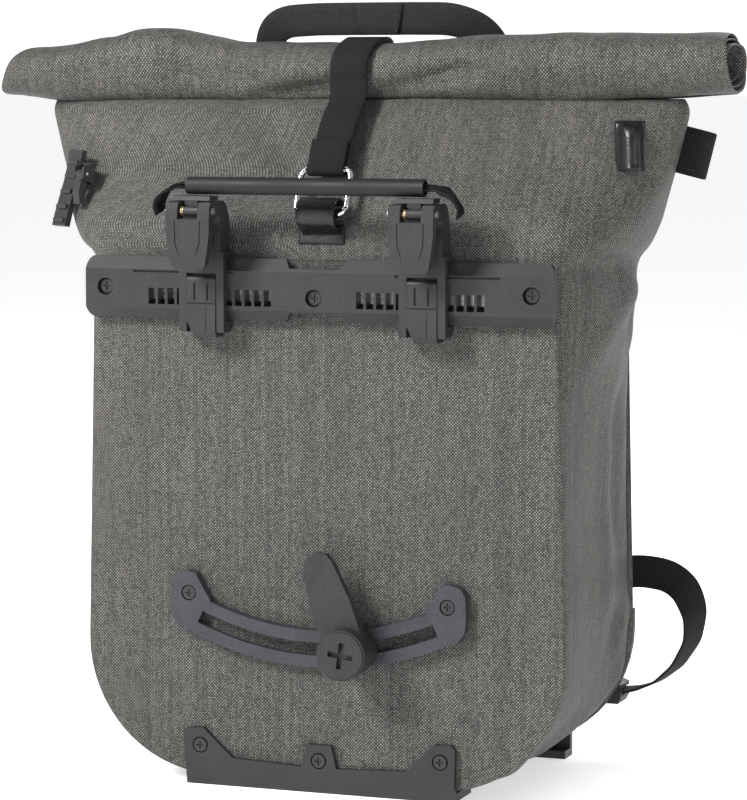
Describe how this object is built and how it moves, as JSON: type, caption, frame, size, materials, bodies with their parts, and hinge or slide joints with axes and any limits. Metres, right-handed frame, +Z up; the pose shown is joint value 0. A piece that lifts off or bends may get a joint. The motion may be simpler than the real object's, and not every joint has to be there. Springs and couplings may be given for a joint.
{
  "type": "pannier bag",
  "caption": "Roll-top bicycle pannier with sliding rack hooks on a slotted rail, a curved track for its lower hook, a carrying handle that opens the hooks, and a shoulder harness",
  "frame": {"origin": "middle of the overall box, at the height of the surface that the bag stands on", "axes": "+X to the right as seen from the mounting side, along the rolled closure; +Y from the bicycle's side to the far side, so the rack hooks point to -Y; +Z up"},
  "size_m": [0.51, 0.235, 0.5105],
  "materials": {
    "coated_fabric": "matte",
    "webbing": "matte",
    "pad_mesh": "matte",
    "black_nylon": "matte",
    "slate_nylon": "satin",
    "gloss_tpu": "gloss",
    "grip_rubber": "matte",
    "board_plastic": "matte",
    "aluminium": "satin",
    "chromed_steel": "polished",
    "bright_steel": "satin",
    "black_steel": "satin",
    "spring_steel": "satin"
  },
  "bodies": {
    "bag": {"back_panel": "coated_fabric", "front_panel": "coated_fabric", "gusset_band": "coated_fabric", "collar": "coated_fabric", "roll_top": "coated_fabric", "closure_strap": "webbing", "grab_handle": "webbing", "webbing_tab": "webbing", "harness_webbing_left": "webbing", "harness_webbing_right": "webbing", "back_pads": "pad_mesh", "shoulder_yoke": "pad_mesh", "shoulder_pad_left": "pad_mesh", "shoulder_pad_right": "pad_mesh", "mounting_rail": "black_nylon", "bumper": "black_nylon", "side_clip_base": "black_nylon", "lumbar_plate": "black_nylon", "strap_adjuster_left": "black_nylon", "strap_adjuster_right": "black_nylon", "strap_anchor_left": "black_nylon", "strap_anchor_right": "black_nylon", "lower_track": "slate_nylon", "ring_loop": "gloss_tpu", "sleeve_loop": "gloss_tpu", "stiffener_board": "board_plastic", "rail_insert": "aluminium", "side_clip_pin": "bright_steel", "rail_nuts": "bright_steel", "track_nuts": "bright_steel", "bumper_nuts": "bright_steel", "rail_screws": "black_steel", "track_screws": "black_steel", "bumper_screws": "black_steel", "lumbar_rivets": "black_steel"},
    "hook_left": {"hook_body_left": "black_nylon", "hook_pin_left": "bright_steel", "clip_pin_left": "bright_steel", "lever_spring_left": "spring_steel"},
    "hook_right": {"hook_body_right": "black_nylon", "hook_pin_right": "bright_steel", "clip_pin_right": "bright_steel", "lever_spring_right": "spring_steel"},
    "lever_left": {"hook_lever_left": "black_nylon"},
    "lever_right": {"hook_lever_right": "black_nylon"},
    "clip_left": {"rail_clip_left": "black_nylon"},
    "clip_right": {"rail_clip_right": "black_nylon"},
    "carry_handle": {"handle_tube": "grip_rubber"},
    "handle_end_left": {"handle_webbing_left": "webbing"},
    "handle_end_right": {"handle_webbing_right": "webbing"},
    "slider": {"track_slider": "black_nylon"},
    "bottom_hook": {"lower_hook": "black_nylon"},
    "knob": {"clamp_knob": "black_nylon"},
    "ring": {"closure_ring": "chromed_steel", "strap_end": "webbing"},
    "gate": {"side_clip_gate": "black_nylon"}
  },
  "joints": [
    {"name": "hook_left_slide", "type": "slide", "parent": "bag", "child": "hook_left", "axis": [1, 0, 0], "range_m": [-0.0134, 0.0067]},
    {"name": "hook_right_slide", "type": "slide", "parent": "bag", "child": "hook_right", "axis": [1, 0, 0], "range_m": [-0.0067, 0.0134]},
    {"name": "handle_lift", "type": "slide", "parent": "bag", "child": "carry_handle", "axis": [0, 0, 1], "range_m": [0, 0.008]},
    {"name": "handle_end_left_lift", "type": "slide", "parent": "hook_left", "child": "handle_end_left", "axis": [0, 0, 1], "range_m": [0, 0.008]},
    {"name": "handle_end_right_lift", "type": "slide", "parent": "hook_right", "child": "handle_end_right", "axis": [0, 0, 1], "range_m": [0, 0.008]},
    {"name": "lever_left_turn", "type": "hinge", "parent": "hook_left", "child": "lever_left", "pos_m": [-0.075, -0.1121, 0.377], "axis": [1, 0, 0], "range_deg": [0, 42]},
    {"name": "lever_right_turn", "type": "hinge", "parent": "hook_right", "child": "lever_right", "pos_m": [0.075, -0.1121, 0.377], "axis": [1, 0, 0], "range_deg": [0, 42]},
    {"name": "clip_left_turn", "type": "hinge", "parent": "hook_left", "child": "clip_left", "pos_m": [-0.075, -0.0927, 0.332], "axis": [1, 0, 0], "range_deg": [-70, 0]},
    {"name": "clip_right_turn", "type": "hinge", "parent": "hook_right", "child": "clip_right", "pos_m": [0.075, -0.0927, 0.332], "axis": [1, 0, 0], "range_deg": [-70, 0]},
    {"name": "track_slide", "type": "hinge", "parent": "bag", "child": "slider", "pos_m": [0, -0.0765, 0.299], "axis": [0, 1, 0], "range_deg": [-14, 29]},
    {"name": "bottom_hook_swivel", "type": "hinge", "parent": "slider", "child": "bottom_hook", "pos_m": [0.02698, -0.0858, 0.09679], "axis": [0, 1, 0], "range_deg": [-40, 76]},
    {"name": "knob_turn", "type": "hinge", "parent": "slider", "child": "knob", "pos_m": [0.02698, -0.1038, 0.09679], "axis": [0, 1, 0], "range_deg": [0, 180]},
    {"name": "ring_tilt", "type": "hinge", "parent": "bag", "child": "ring", "pos_m": [0, -0.0775, 0.375], "axis": [1, 0, 0], "range_deg": [0, 20]},
    {"name": "gate_turn", "type": "hinge", "parent": "bag", "child": "gate", "pos_m": [-0.1786, -0.05171, 0.398], "axis": [0.8387, -0.5446, 0], "range_deg": [-60, 0]}
  ],
  "couplings": [
    {"joint": "handle_end_left_lift", "follows": "handle_lift", "ratio": 1},
    {"joint": "handle_end_right_lift", "follows": "handle_lift", "ratio": 1},
    {"joint": "lever_left_turn", "follows": "handle_lift", "rad_per_m": 91.6},
    {"joint": "lever_right_turn", "follows": "handle_lift", "rad_per_m": 91.6}
  ]
}
